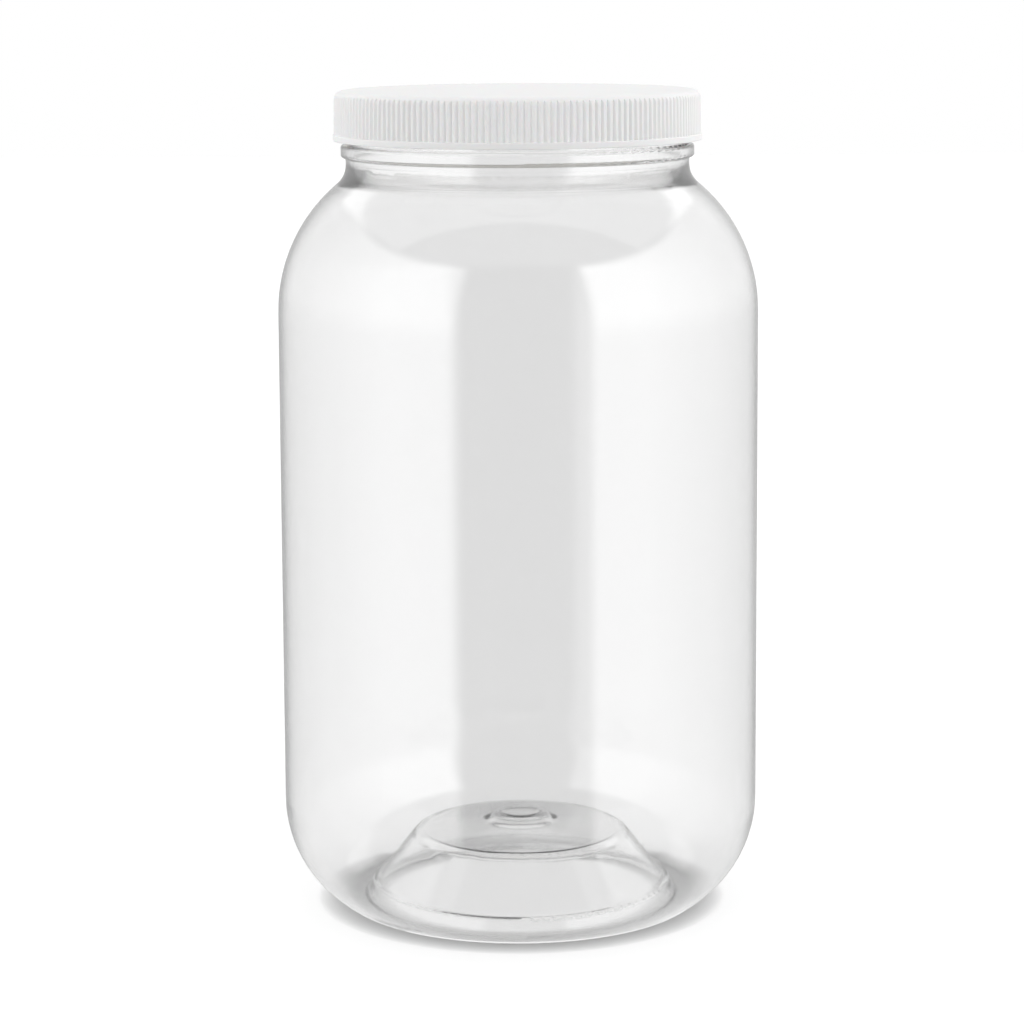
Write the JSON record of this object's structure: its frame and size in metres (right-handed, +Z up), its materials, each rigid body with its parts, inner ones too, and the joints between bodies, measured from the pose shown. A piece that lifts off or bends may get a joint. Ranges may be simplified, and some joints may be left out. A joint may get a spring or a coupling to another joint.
{
  "type": "screw-top jar",
  "caption": "Clear round wide-mouth jar with a rounded shoulder and heel, a push-up base and a ribbed white screw cap that seals on a foam liner.",
  "frame": {"origin": "on the jar's axis, in the plane that the foot stands on", "axes": "+Z up along the jar's axis, -Y towards the viewer of the picture"},
  "size_m": [0.1516, 0.1514, 0.2595],
  "materials": {
    "clear_pet": "blow-moulded, clear and glossy",
    "white_polypropylene": "injection-moulded, satin",
    "foamed_polyethylene": "die-cut foam sheet, matt"
  },
  "bodies": {
    "jar": {"jar_body": "clear_pet"},
    "liner": {"cap_liner": "foamed_polyethylene"},
    "cap": {"screw_cap": "white_polypropylene"}
  },
  "joints": [
    {"name": "cap_lift", "type": "slide", "parent": "jar", "child": "liner", "axis": [0, 0, 1], "range_m": [0, 0.01525]},
    {"name": "cap_turn", "type": "hinge", "parent": "liner", "child": "cap", "pos_m": [0, 0, 0.257], "axis": [0, 0, 1], "range_deg": [0, 1080]}
  ],
  "couplings": [
    {"joint": "cap_lift", "follows": "cap_turn", "m_per_rad": 0.00080851}
  ]
}
